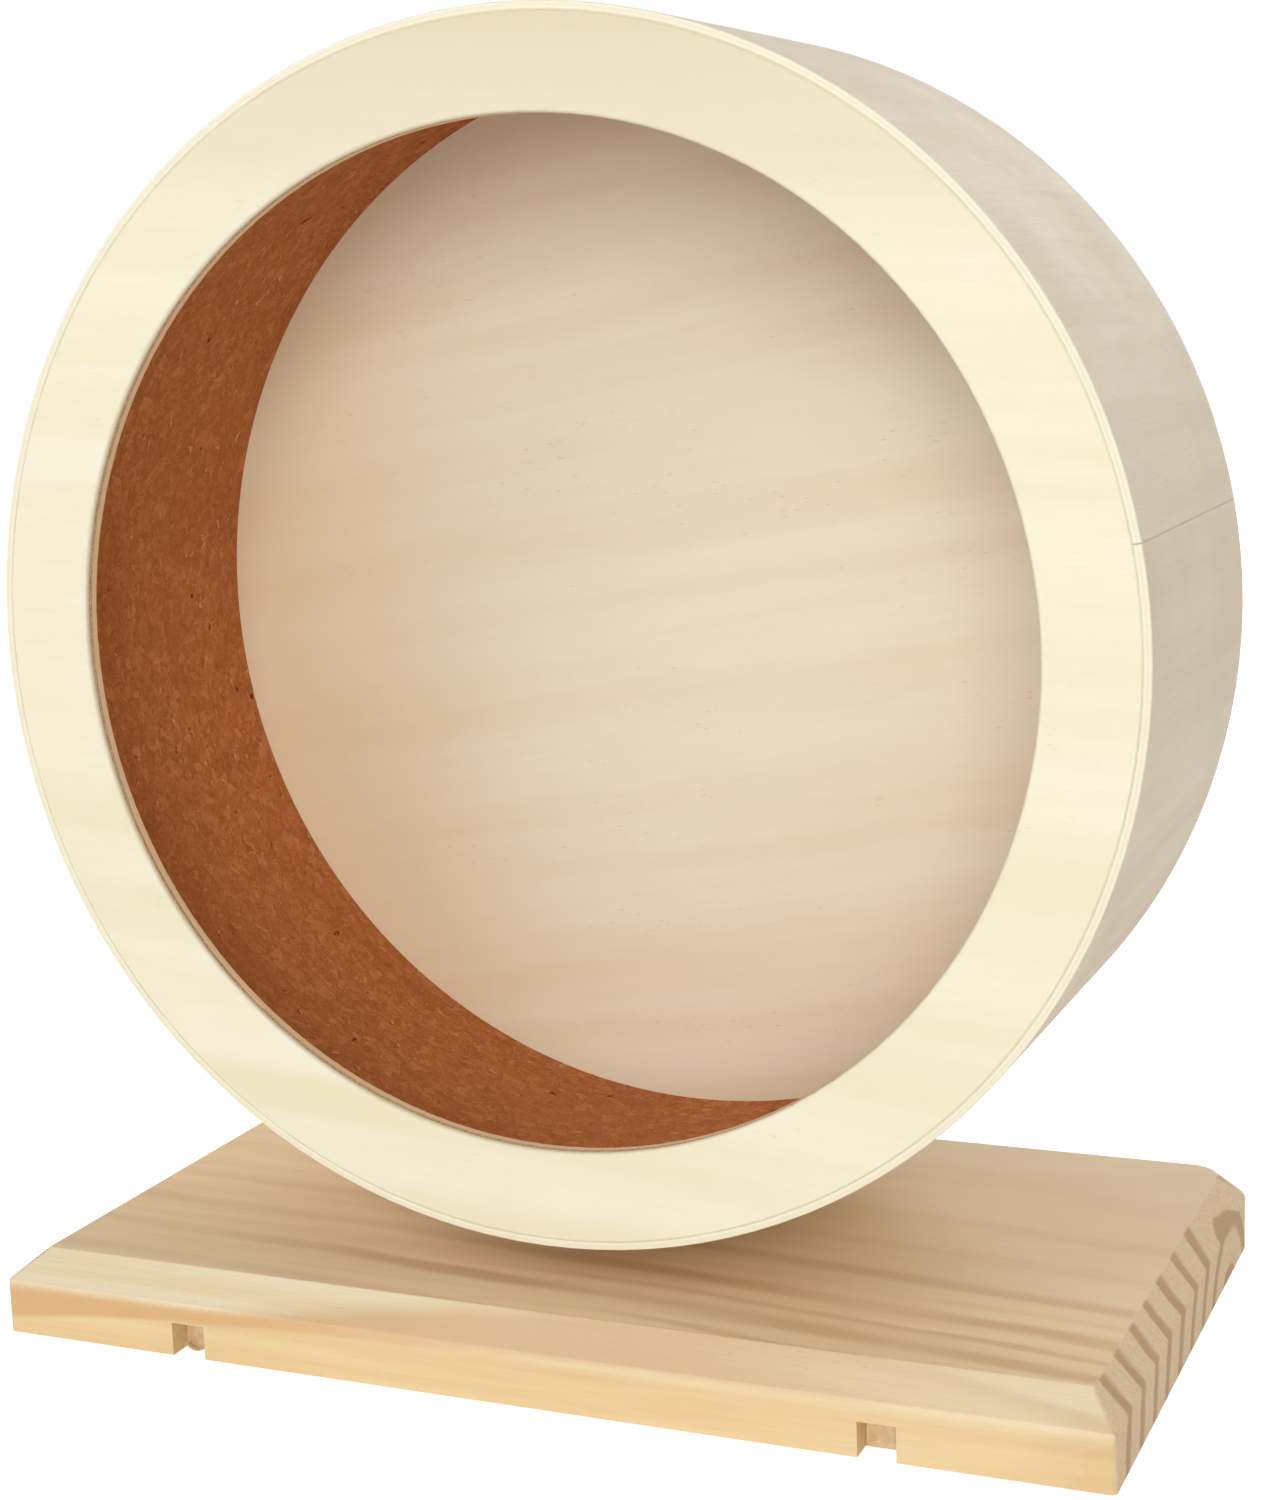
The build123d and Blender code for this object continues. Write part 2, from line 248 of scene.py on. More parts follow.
def make_growth_rings():
    """Growth rings round a heart near the rear: late wood, thin lines between on the right, and the end's lines."""
    first_ring_radius = 100.0
    ring_drift = 23.0
    ripple_height = 2.4
    end_lines_per_ring = 1.3
    tree, bench, given, out = node_group(
        "Growth rings",
        [("Vector", "Vector", None), ("Heart across", "Float", 48.0), ("Heart height", "Float", -8.0),
         ("Ring width", "Float", 18.1), ("Unevenness", "Float", 7.0)],
        [("Late wood", "Float"), ("Ring colour", "Float"), ("End lines", "Float")],
    )
    x, y, z = bench.split(given["Vector"])
    across = bench.math("SUBTRACT", y, given["Heart across"])
    height = bench.math("SUBTRACT", z, given["Heart height"])
    radius = bench.vector("LENGTH", bench.combine(0.0, across, height))
    share = bench.math("DIVIDE", bench.math("ADD", x, base_half_width), 2 * base_half_width, clamp=True)
    drift = bench.math("MULTIPLY", bench.math("POWER", share, 1.3), ring_drift)
    sway = bench.noise(bench.vector("MULTIPLY", given["Vector"], (0.012, 0.02, 0.02)), 1.0, 2.0)
    moved = bench.math("MULTIPLY", bench.math("SUBTRACT", sway, 0.5), given["Unevenness"])
    ripple = bench.noise(bench.vector("MULTIPLY", given["Vector"], (0.03, 0.16, 0.16)), 1.0, 2.0)
    rippled = bench.math("MULTIPLY", bench.math("SUBTRACT", ripple, 0.5), ripple_height)
    distance = bench.math("ADD", bench.math("SUBTRACT", radius, drift), bench.math("ADD", moved, rippled))
    count = bench.math("DIVIDE", bench.math("SUBTRACT", distance, first_ring_radius), given["Ring width"])
    shifted = bench.math("ADD", count, 0.5)
    phase = bench.math("FRACT", shifted)
    late = bench.math("MULTIPLY", bench.fade(phase, 0.24, 0.42), bench.fade(phase, 0.52, 0.7, 1.0, 0.0))
    whole = bench.math("FLOOR", shifted)
    own_place = bench.combine(bench.math("MULTIPLY", whole, 7.31), bench.math("MULTIPLY", x, 0.012))
    wobble = bench.noise(own_place, 1.0, 1.0)
    late = bench.math("MULTIPLY", late, bench.fade(wobble, 0.3, 0.62, 0.4, 1.0))
    between = bench.math("FRACT", count)
    thin = bench.math("MULTIPLY", bench.fade(between, 0.38, 0.47), bench.fade(between, 0.51, 0.62, 1.0, 0.0))
    thin = bench.math("MULTIPLY", thin, bench.fade(x, -30.0, 60.0, 0.0, 0.8))
    thin = bench.math("MULTIPLY", thin, bench.fade(y, -30.0, -55.0))
    late = bench.math("MULTIPLY", late, bench.fade(y, -10.0, -40.0, 0.3, 1.0))
    bench.put(out["Late wood"], bench.math("MAXIMUM", late, thin))
    bench.put(out["Ring colour"], wobble)
    end_phase = bench.math("FRACT", bench.math("MULTIPLY_ADD", count, end_lines_per_ring, 0.7))
    stripes = bench.math("MULTIPLY", bench.fade(end_phase, 0.22, 0.42), bench.fade(end_phase, 0.6, 0.68, 1.0, 0.0))
    bench.put(out["End lines"], stripes)
    return tree


def make_ply_layers():
    """Layers of a plywood sheet by depth in millimetres: where the grain is cut across, and the dark glue lines."""
    tree, bench, given, out = node_group(
        "Plywood layers",
        [("Depth", "Float", 0.0), ("Face", "Float", 1.2), ("Layer", "Float", 2.6), ("Place", "Vector", None)],
        [("Cut across", "Float"), ("Glue line", "Float")],
    )
    sway = bench.noise(bench.vector("SCALE", given["Place"], 0.05), 1.0, 2.0)
    depth = bench.math("ADD", given["Depth"], bench.math("MULTIPLY", bench.math("SUBTRACT", sway, 0.5), 0.35))
    from_face = bench.math("SUBTRACT", depth, given["Face"])
    turns = bench.math("DIVIDE", from_face, bench.math("MULTIPLY", given["Layer"], 2.0))
    phase = bench.math("FRACT", turns)
    inside = bench.math("LESS_THAN", phase, 0.5)
    near = bench.math("PINGPONG", from_face, bench.math("MULTIPLY", given["Layer"], 0.5))
    bench.put(out["Cut across"], inside)
    bench.put(out["Glue line"], bench.fade(near, 0.0, 0.12, 1.0, 0.0))
    return tree


def make_handling():
    """Faint marks of use: soft cloudy patches, and a few thin scratches."""
    tree, bench, given, out = node_group(
        "Handling",
        [("Vector", "Vector", None), ("Patch size", "Float", 30.0)],
        [("Patches", "Float"), ("Scratches", "Float")],
    )
    small = bench.vector("SCALE", given["Vector"], bench.math("DIVIDE", 1.0, given["Patch size"]))
    bench.put(out["Patches"], bench.fade(bench.noise(small, 1.0, 3.0, 0.55), 0.35, 0.68))
    slanted = bench.add("ShaderNodeMapping")
    slanted.inputs["Rotation"].default_value = (0.3, 0.62, 0.4)
    slanted.inputs["Scale"].default_value = (0.035, 0.9, 0.9)
    bench.put(slanted.inputs["Vector"], given["Vector"])
    thin = bench.cells(slanted.outputs[0], 0.35)
    lines = bench.fade(thin.outputs["Distance"], 0.02, 0.05, 1.0, 0.0)
    bench.put(out["Scratches"], lines)
    return tree


millimetres = make_millimetres()
unrolled = make_unrolled()
fibres = make_fibres()
growth_rings = make_growth_rings()
ply_layers = make_ply_layers()
handling = make_handling()


# Finishes

def finish_base(name, height=0.0, turn=0.0):
    """A new material with its bench, its Principled shader, and the place in millimetres."""
    material = bpy.data.materials.new(name)
    material.use_nodes = True
    bench = Bench(material.node_tree)
    shader = material.node_tree.nodes["Principled BSDF"]
    place = bench.add("ShaderNodeTexCoord").outputs["Object"]
    outputs = bench.group(millimetres, Place=place, Height=height, Turn=turn)
    return material, bench, shader, outputs["Vector"], outputs["Radius"]


def bump(bench, shader, height, strength, distance):
    node = bench.add("ShaderNodeBump")
    node.inputs["Strength"].default_value = strength
    node.inputs["Distance"].default_value = distance
    bench.put(node.inputs["Height"], height)
    bench.put(shader.inputs["Normal"], node.outputs[0])


def total(bench, *terms):
    """The sum of (value, weight) pairs."""
    result = 0.0
    for value, weight in terms:
        result = bench.math("MULTIPLY_ADD", value, weight, result)
    return result


def plywood(name, height, turn, front, sheet, pale, deep, core, layer, streak=6.0, face=None, contrast=0.6,
            core_end=None, rear=None, above=None, left=None):
    """A thin plywood sheet that stands across Y, with its face grain along X turned by turn.

    above is painted shade that the face takes on towards its top, left is a painted warm glow of light bounced from the
    cork onto the inner face towards its left, and rear is a colour that the face takes on towards its rear.
    """
    material, bench, shader, place, radius = finish_base(name, height, math.radians(turn))
    wood = bench.group(fibres, Vector=place, Streak_width=streak, Fibre_width=0.55, Wander=9.0)
    marks = bench.group(handling, Vector=place, Patch_size=46.0)
    tone = bench.fade(wood["Streaks"], 0.3, 0.72)
    colour = bench.mix(bench.math("MULTIPLY_ADD", tone, contrast, 0.5 - contrast / 2), pale, deep)
    colour = bench.mix(bench.math("MULTIPLY", marks["Patches"], 0.35), colour, bench.mix(0.5, pale, deep))
    lines = bench.fade(wood["Fibres"], 0.4, 0.75)
    colour = bench.mix(bench.math("MULTIPLY", lines, 0.16), colour, deep)
    torn = bench.fade(radius, mouth_radius + 2.0, mouth_radius + 9.0, 0.34, 0.1)
    colour = bench.mix(bench.math("MULTIPLY", wood["Pores"], torn), colour, core)
    _, y, _ = bench.split(place)
    depth = bench.math("SUBTRACT", y, front)
    layers = bench.group(ply_layers, Depth=depth, Face=face or layer * 0.48, Layer=layer, Place=place)
    pitted = bench.noise(place, 1.4, 3.0, 0.65)
    end_grain = bench.mix(bench.fade(pitted, 0.35, 0.7), core, bench.mix(0.55, core, pale))
    within = bench.math(
        "MULTIPLY", bench.math("GREATER_THAN", depth, 0.5), bench.math("LESS_THAN", depth, core_end or sheet - 0.5),
    )
    # Painted shade: the face darkens towards its top
    if above:
        painted_top_shade = bench.fade(bench.split(place)[2], 70.0, 150.0, 0.0, 0.8)
        colour = bench.mix(painted_top_shade, colour, above)
    # Painted light: a warm glow of light bounced from the cork, on the inner face towards the left
    if left:
        inner = bench.math("LESS_THAN", depth, sheet / 2)
        warm = bench.math("MULTIPLY", inner, bench.fade(bench.split(place)[0], -40.0, -125.0, 0.0, 0.4))
        colour = bench.mix(warm, colour, left)
    if rear:
        colour = bench.mix(bench.fade(depth, core_end - 0.2, core_end), colour, rear)
    cut = bench.math("MULTIPLY", layers["Cut across"], within)
    colour = bench.mix(cut, colour, end_grain)
    glue = bench.math("MULTIPLY", layers["Glue line"], within)
    colour = bench.mix(bench.math("MULTIPLY", glue, 0.5), colour, srgb(120, 84, 52))
    bench.put(shader.inputs["Base Color"], colour)
    rough = total(bench, (lines, 0.1), (cut, 0.12), (marks["Patches"], 0.05))
    bench.put(shader.inputs["Roughness"], bench.math("ADD", rough, 0.56))
    shader.inputs["Specular IOR Level"].default_value = 0.35
    relief = total(
        bench, (wood["Fibres"], 0.55), (wood["Pores"], -0.5), (marks["Scratches"], -0.25),
        (bench.math("MULTIPLY", pitted, cut), 1.2), (glue, -0.5),
    )
    bump(bench, shader, relief, 0.35, 0.0002)
    return material


def bent_plywood():
    """The thin hoop: fine grain that runs across it, and plies at its two edges."""
    material, bench, shader, place, _ = finish_base("bent_plywood", axle_height)
    flat = bench.group(unrolled, Vector=place, Seam_angle=band_seam_angle)
    along, across, _ = bench.split(flat["Vector"])
    grain = bench.combine(across, along, flat["Radius"])
    wood = bench.group(fibres, Vector=grain, Streak_width=11.0, Fibre_width=0.5, Wander=4.0)
    marks = bench.group(handling, Vector=flat["Vector"], Patch_size=38.0)
    colour = bench.mix(bench.fade(wood["Streaks"], 0.25, 0.8), srgb(238, 225, 203), srgb(229, 211, 186))
    cloudy = bench.noise(bench.vector("MULTIPLY", flat["Vector"], (0.012, 0.02, 0.0)), 1.0, 2.0)
    colour = bench.mix(bench.fade(cloudy, 0.45, 0.7, 0.0, 0.5), colour, srgb(226, 204, 176))
    colour = bench.mix(bench.fade(cloudy, 0.5, 0.25, 0.0, 0.4), colour, srgb(232, 222, 196))
    lines = bench.fade(wood["Fibres"], 0.42, 0.75)
    colour = bench.mix(bench.math("MULTIPLY", lines, 0.1), colour, srgb(204, 180, 150))
    colour = bench.mix(bench.math("MULTIPLY", wood["Pores"], 0.25), colour, srgb(150, 118, 86))
    # A little glue squeezed out by the seam, wider towards the rear
    spread = bench.fade(across, -50.0, 45.0, 0.3, 3.0)
    ragged = bench.math("MULTIPLY", spread, bench.noise(bench.vector("SCALE", flat["Vector"], 0.12), 1.0, 3.0))
    stain = bench.fade(bench.math("SUBTRACT", flat["From seam"], ragged), 0.0, 0.9, 1.0, 0.0)
    colour = bench.mix(bench.math("MULTIPLY", stain, 0.35), colour, srgb(222, 202, 164))
    # The plies seen on the front and rear edges
    depth = bench.math("SUBTRACT", drum_radius, flat["Radius"])
    core = bench.math("MULTIPLY", bench.fade(depth, 0.55, 0.68), bench.fade(depth, 1.4, 1.28))
    front_edge = bench.fade(across, drum_front + 0.7, drum_front + 0.2)
    rear_edge = bench.fade(across, drum_rear - 0.6, drum_rear - 0.2)
    colour = bench.mix(front_edge, colour, srgb(246, 238, 214))
    edge = bench.math("ADD", front_edge, rear_edge)
    colour = bench.mix(bench.math("MULTIPLY", bench.math("MULTIPLY", core, edge), 0.14), colour, srgb(206, 178, 140))
    bench.put(shader.inputs["Base Color"], colour)
    rough = total(bench, (lines, 0.1), (marks["Patches"], 0.06), (stain, -0.15))
    bench.put(shader.inputs["Roughness"], bench.math("ADD", rough, 0.58))
    shader.inputs["Specular IOR Level"].default_value = 0.3
    relief = total(
        bench, (wood["Fibres"], 0.6), (wood["Streaks"], 0.5), (wood["Pores"], -0.5),
        (marks["Scratches"], -0.3), (stain, 0.4),
    )
    bump(bench, shader, relief, 0.3, 0.0002)
    return material


def cork():
    """Pressed cork: reddish brown granules with paler flecks along the strip, each with a painted shadow, and dark
    pits.
    """
    material, bench, shader, place, _ = finish_base("cork", axle_height)
    flat = bench.group(unrolled, Vector=place, Seam_angle=cork_seam_angle)
    wander = bench.add("ShaderNodeTexNoise")
    wander.inputs["Scale"].default_value = 0.3
    bench.put(wander.inputs["Vector"], flat["Vector"])
    centred = bench.vector("SUBTRACT", wander.outputs["Color"], (0.5, 0.5, 0.5))
    loose = bench.vector("ADD", flat["Vector"], bench.vector("SCALE", centred, 7.0))
    grains = bench.cells(bench.vector("MULTIPLY", loose, (0.32, 0.42, 0.4)))
    shade = bench.split(grains.outputs["Color"])
    colour = bench.ramp(
        shade[0], (0.0, srgb(178, 106, 58)), (0.45, srgb(193, 119, 67)), (0.8, srgb(205, 131, 76)),
        (1.0, srgb(219, 149, 95)),
    )
    small = bench.cells(bench.vector("MULTIPLY", loose, (0.9, 1.2, 1.0)))
    small_shade = bench.split(small.outputs["Color"])
    colour = bench.mix(0.4, colour, bench.ramp(
        small_shade[1], (0.0, srgb(165, 93, 48)), (0.5, srgb(193, 119, 67)), (1.0, srgb(215, 143, 88)),
    ))
    edges = bench.cells(bench.vector("MULTIPLY", loose, (0.32, 0.42, 0.4)), feature="DISTANCE_TO_EDGE")
    borders = bench.fade(edges.outputs["Distance"], 0.0, 0.08, 1.0, 0.0)
    colour = bench.mix(bench.math("MULTIPLY", borders, 0.22), colour, srgb(138, 72, 36))
    cloudy = bench.noise(flat["Vector"], 0.02, 3.0)
    colour = bench.mix(bench.fade(cloudy, 0.4, 0.7, 0.0, 0.3), colour, srgb(174, 100, 52))
    # Sparse curled flecks of paler cork, each with a painted shadow on one side
    fleck_place = bench.vector("MULTIPLY", loose, (0.13, 0.3, 0.2))
    flecks = bench.cells(fleck_place)
    chosen = bench.fade(bench.split(flecks.outputs["Color"])[0], 0.35, 0.5)
    light = bench.math("MULTIPLY", bench.fade(flecks.outputs["Distance"], 0.1, 0.2, 1.0, 0.0), chosen)
    painted_shadow_cells = bench.cells(bench.vector("ADD", fleck_place, (0.03, 0.16, 0.0)))
    painted_shadow_chosen = bench.fade(bench.split(painted_shadow_cells.outputs["Color"])[0], 0.35, 0.5)
    dark = bench.math("MULTIPLY", bench.fade(painted_shadow_cells.outputs["Distance"], 0.08, 0.2, 1.0, 0.0), painted_shadow_chosen)
    # Painted shadow of each curled fleck
    colour = bench.mix(bench.math("MULTIPLY", dark, 0.65), colour, srgb(118, 58, 28))
    colour = bench.mix(bench.math("MULTIPLY", light, 0.72), colour, srgb(234, 172, 124))
    pits = bench.cells(bench.vector("MULTIPLY", loose, (0.06, 0.08, 0.1)))
    pit = bench.fade(pits.outputs["Distance"], 0.05, 0.1, 1.0, 0.0)
    colour = bench.mix(bench.math("MULTIPLY", pit, 0.85), colour, srgb(70, 32, 16))
    seam = bench.fade(flat["From seam"], 0.0, 0.9, 1.0, 0.0)
    colour = bench.mix(bench.math("MULTIPLY", seam, 0.5), colour, srgb(90, 46, 24))
    bench.put(shader.inputs["Base Color"], colour)
    rough = total(bench, (borders, 0.1), (shade[1], 0.14))
    bench.put(shader.inputs["Roughness"], bench.math("ADD", rough, 0.74))
    shader.inputs["Specular IOR Level"].default_value = 0.22
    relief = total(
        bench, (shade[2], 0.4), (borders, -0.5), (dark, -1.2), (light, 0.8), (small_shade[0], 0.3), (pit, -2.0),
    )
    bump(bench, shader, relief, 0.55, 0.0003)
    return material


def pine():
    """The planed board: growth rings on its top and ends, and a front cut along one ring."""
    material, bench, shader, place, _ = finish_base("pine")
    rings = bench.group(growth_rings, Vector=place)
    wood = bench.group(fibres, Vector=place, Streak_width=5.0, Fibre_width=0.5, Wander=3.0)
    marks = bench.group(handling, Vector=place, Patch_size=40.0)
    x, y, z = bench.split(place)
    early = bench.mix(bench.fade(wood["Streaks"], 0.25, 0.75), srgb(246, 219, 178), srgb(237, 206, 161))
    greyer_rear = bench.math("MULTIPLY", bench.fade(x, 0.0, 80.0), bench.fade(y, -60.0, -20.0, 0.0, 0.7))
    early = bench.mix(greyer_rear, early, srgb(236, 213, 183))
    late = bench.mix(bench.fade(rings["Ring colour"], 0.35, 0.65), srgb(216, 184, 136), srgb(204, 160, 108))
    colour = bench.mix(bench.math("MULTIPLY", rings["Late wood"], 0.62), early, late)
    # The front: cream above, yellower below, with an orange band that widens and fades to the right
    lower = bench.mix(bench.fade(wood["Streaks"], 0.3, 0.75), srgb(239, 213, 165), srgb(230, 197, 145))
    sap = bench.mix(bench.fade(wood["Streaks"], 0.3, 0.75), srgb(246, 232, 200), srgb(240, 220, 176))
    sap = bench.mix(bench.fade(z, 9.5, 14.0), lower, sap)
    wave = bench.noise(bench.vector("MULTIPLY", place, (0.02, 0.1, 0.1)), 1.0, 3.0)
    waved = bench.math("MULTIPLY_ADD", bench.math("SUBTRACT", wave, 0.5), 5.0, z)
    band_low = bench.math("MULTIPLY_ADD", x, 0.014, bench.fade(x, -142.0, -70.0, 6.6, 11.4))
    band_high = bench.math("MULTIPLY_ADD", bench.fade(x, -142.0, 90.0), 12.0, 12.6)
    above_low = bench.fade(bench.math("SUBTRACT", waved, band_low), -0.6, 1.4)
    below_high = bench.fade(bench.math("SUBTRACT", waved, band_high), -2.2, 1.6, 1.0, 0.0)
    zone = bench.math("MULTIPLY", above_low, below_high)
    warm = bench.mix(bench.fade(x, -90.0, 10.0), srgb(222, 178, 124), srgb(232, 198, 156))
    zone = bench.math("MULTIPLY", zone, bench.fade(x, 30.0, 125.0, 0.9, 0.15))
    sap = bench.mix(zone, sap, warm)
    sap = bench.mix(bench.math("MULTIPLY", rings["Late wood"], bench.fade(x, 60.0, 120.0, 0.0, 0.35)), sap, late)
    front = bench.fade(y, bevel_rear + 0.6, bevel_rear - 0.5)
    colour = bench.mix(front, colour, sap)
    colour = bench.mix(bench.fade(wood["Fibres"], 0.45, 0.8, 0.0, 0.16), colour, srgb(206, 166, 118))
    colour = bench.mix(bench.math("MULTIPLY", wood["Pores"], 0.22), colour, srgb(176, 132, 86))
    # Ends, with the bevels that cut across the grain
    out = bench.math("ABSOLUTE", x)
    slope = bench.math("MULTIPLY_ADD", bench.math("SUBTRACT", out, base_flat_half_width), bevel_slope, z)
    on_bevel = bench.fade(bench.math("SUBTRACT", slope, base_thickness), -0.9, -0.2)
    on_bevel = bench.math("MULTIPLY", on_bevel, bench.fade(out, base_flat_half_width - 0.4, base_flat_half_width + 0.6))
    end = bench.math("MAXIMUM", on_bevel, bench.fade(out, base_half_width - 0.5, base_half_width - 0.1))
    speckle = bench.noise(place, 1.1, 4.0, 0.65)
    cut = bench.mix(bench.fade(speckle, 0.35, 0.7), srgb(234, 210, 174), srgb(222, 192, 150))
    cut = bench.mix(bench.math("MULTIPLY", rings["End lines"], 0.75), cut, srgb(178, 134, 92))
    colour = bench.mix(bench.math("MULTIPLY", end, 0.95), colour, cut)
    bench.put(shader.inputs["Base Color"], colour)
    rough = total(bench, (rings["Late wood"], -0.06), (end, 0.14), (marks["Patches"], 0.06))
    bench.put(shader.inputs["Roughness"], bench.math("ADD", rough, 0.55))
    shader.inputs["Specular IOR Level"].default_value = 0.35
    planed = bench.math("SINE", bench.math("MULTIPLY", x, 2.2))
    relief = total(
        bench, (wood["Fibres"], 0.5), (rings["Late wood"], 0.25), (wood["Pores"], -0.6), (planed, 0.03),
        (bench.math("MULTIPLY", speckle, end), 1.4), (marks["Scratches"], -0.3),
    )
    bump(bench, shader, relief, 0.4, 0.0002)
    return material


def hardwood(name, height, across):
    """Beech in small pieces: tight grain, and short flecks. across is the way the grain runs."""
    material, bench, shader, place, _ = finish_base(name, height)
    x, y, z = bench.split(place)
    grain = {"X": place, "Y": bench.combine(y, x, z), "Z": bench.combine(z, x, y)}[across]
    wood = bench.group(fibres, Vector=grain, Streak_width=2.6, Fibre_width=0.35, Wander=2.0)
    marks = bench.group(handling, Vector=place, Patch_size=18.0)
    colour = bench.mix(bench.fade(wood["Streaks"], 0.3, 0.7), srgb(236, 211, 172), srgb(220, 188, 144))
    colour = bench.mix(bench.fade(wood["Fibres"], 0.45, 0.75, 0.0, 0.3), colour, srgb(198, 160, 116))
    flecks = bench.cells(bench.vector("MULTIPLY", grain, (0.5, 2.2, 2.2)))
    fleck = bench.fade(flecks.outputs["Distance"], 0.08, 0.2, 1.0, 0.0)
    colour = bench.mix(bench.math("MULTIPLY", fleck, 0.5), colour, srgb(160, 112, 74))
    bench.put(shader.inputs["Base Color"], colour)
    rough = total(bench, (marks["Patches"], 0.08), (fleck, 0.05))
    bench.put(shader.inputs["Roughness"], bench.math("ADD", rough, 0.5))
    shader.inputs["Specular IOR Level"].default_value = 0.4
    bump(bench, shader, total(bench, (wood["Fibres"], 0.6), (fleck, -0.3)), 0.3, 0.00015)
    return material


def steel(name, height, pale, dark, roughness, brushed):
    """Bare metal: turned or drawn marks round the axle, faint stains, and specks where the finish is thin."""
    material, bench, shader, place, radius = finish_base(name, height)
    marks = bench.group(handling, Vector=place, Patch_size=7.0)
    turned = bench.noise(bench.combine(bench.math("MULTIPLY", radius, 4.0), 0.0, 0.0), 1.5, 3.0)
    _, y, _ = bench.split(place)
    drawn = bench.noise(bench.combine(bench.math("MULTIPLY", y, 5.0), 0.0, 0.0), 1.5, 2.0)
    lines = bench.math("MULTIPLY", bench.math("ADD", turned, drawn), 0.5)
    specks = bench.fade(bench.noise(place, 2.2, 3.0, 0.7), 0.62, 0.74)
    colour = bench.mix(bench.fade(marks["Patches"], 0.2, 0.9), pale, dark)
    colour = bench.mix(bench.math("MULTIPLY", specks, 0.35), colour, dark)
    bench.put(shader.inputs["Base Color"], colour)
    shader.inputs["Metallic"].default_value = 1.0
    rough = total(bench, (lines, brushed), (specks, 0.15), (marks["Scratches"], 0.1))
    bench.put(shader.inputs["Roughness"], bench.math("ADD", rough, roughness))
    bump(bench, shader, total(bench, (lines, 1.0), (marks["Scratches"], -0.6), (specks, -0.3)), 0.12, 0.0001)
    return material


def nylon():
    """Moulded nylon, slightly clouded."""
    material, bench, shader, place, _ = finish_base("nylon", axle_height)
    cloud = bench.noise(place, 0.6, 3.0)
    fine = bench.noise(place, 4.0, 2.0)
    bench.put(shader.inputs["Base Color"], bench.mix(cloud, srgb(238, 233, 218), srgb(222, 214, 194)))
    bench.put(shader.inputs["Roughness"], bench.fade(fine, 0.3, 0.7, 0.34, 0.46))
    shader.inputs["Subsurface Weight"].default_value = 0.1
    shader.inputs["Subsurface Scale"].default_value = 0.001
    bump(bench, shader, fine, 0.1, 0.0001)
    return material


def dried_glue():
    """Wood glue that has dried in the joint, a dull cream, with small bubbles."""
    material, bench, shader, place, _ = finish_base("dried_glue", axle_height)
    cloud = bench.noise(place, 0.12, 3.0)
    bubbles = bench.fade(bench.cells(place, 1.6).outputs["Distance"], 0.1, 0.3, 1.0, 0.0)
    colour = bench.mix(cloud, srgb(228, 220, 192), srgb(208, 198, 164))
    bench.put(shader.inputs["Base Color"], bench.mix(bench.math("MULTIPLY", bubbles, 0.3), colour, srgb(226, 220, 192)))
    bench.put(shader.inputs["Roughness"], bench.fade(cloud, 0.3, 0.7, 0.42, 0.6))
    bump(bench, shader, total(bench, (cloud, 1.0), (bubbles, -0.4)), 0.3, 0.0002)
    return material


# The ring's above colour is painted shade on its top
ring_veneer = plywood(
    "ring_plywood", axle_height, -4.0, drum_front, ring_ply, srgb(246, 240, 220), srgb(238, 226, 190),
    srgb(196, 154, 106), 1.25, streak=13.0, face=1.45, contrast=0.7,
    core_end=2.7, rear=srgb(240, 208, 166), above=srgb(222, 208, 178),
)
# The disc's left colour is painted warm bounce light from the cork
disc_veneer = plywood(
    "disc_plywood", axle_height, 10.0, disc_front, 5.0, srgb(250, 247, 224), srgb(242, 229, 197),
    srgb(182, 136, 92), 2.5, streak=15.0, face=1.25, contrast=0.7, left=srgb(246, 220, 172),
)
upright_veneer = plywood(
    "upright_plywood", axle_height, 88.0, upright_front, upright_ply, srgb(238, 222, 186), srgb(224, 198, 150),
    srgb(184, 140, 94), 1.55, streak=8.0,
)
cover_veneer = plywood(
    "cover_plywood", axle_height, 20.0, cover_front, 2.5, srgb(236, 218, 182), srgb(220, 192, 146),
    srgb(170, 124, 80), 0.95, streak=5.0, face=0.78,
)
hoop_veneer = bent_plywood()
cork_finish = cork()
pine_finish = pine()
beech_block = hardwood("beech_block", axle_height, "X")
beech_strip = hardwood("beech_strip", 0.0, "Y")
beech_peg = hardwood("beech_peg", 0.0, "Z")
zinc = steel("zinc_steel", axle_height, srgb(206, 208, 212), srgb(168, 170, 172), 0.26, 0.16)
screw_zinc = steel("screw_zinc", 0.0, srgb(210, 208, 200), srgb(166, 164, 156), 0.3, 0.14)
bright_steel = steel("bearing_steel", axle_height, srgb(222, 222, 224), srgb(192, 192, 196), 0.12, 0.1)
nylon_finish = nylon()
glue_finish = dried_glue()

finishes = {
    "front_ring": ring_veneer,
    "drum_band": hoop_veneer,
    "cork_lining": cork_finish,
    "back_disc": disc_veneer,
    "hub_block": beech_block,
    "hub_cover": cover_veneer,
    "hub_screws": zinc,
    "bearing_outer_race": bright_steel,
    "bearing_shields": bright_steel,
    "bearing_balls": bright_steel,
    "bearing_cage": nylon_finish,
    "base_board": pine_finish,
    "batten_left": beech_strip,
    "batten_right": beech_strip,
    "upright": upright_veneer,
    "upright_dowels": beech_peg,
    "upright_screws": screw_zinc,
    "axle_bolt": zinc,
    "head_shim": zinc,
    "bearing_inner_race": bright_steel,
    "axle_spacer": zinc,
    "rear_washer": zinc,
    "lock_nut": zinc,
    "lock_nut_collar": nylon_finish,
}
for node_name, finish in finishes.items():
    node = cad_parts[node_name]
    node.data.materials.clear()
    node.data.materials.append(finish)


# Pieces made here

axle_place = Vector((0.0, 0.0, axle_height * MM))


def deselect_all():
    if bpy.context.object and bpy.context.object.mode != "OBJECT":
        bpy.ops.object.mode_set(mode="OBJECT")
    bpy.ops.object.select_all(action="DESELECT")


def begin(name):
    """Names the primitive just added, and puts its place into its mesh."""
    piece = bpy.context.object
    piece.name = name
    piece.data.name = name
    bpy.ops.object.transform_apply(location=True, rotation=True, scale=True)
    return piece


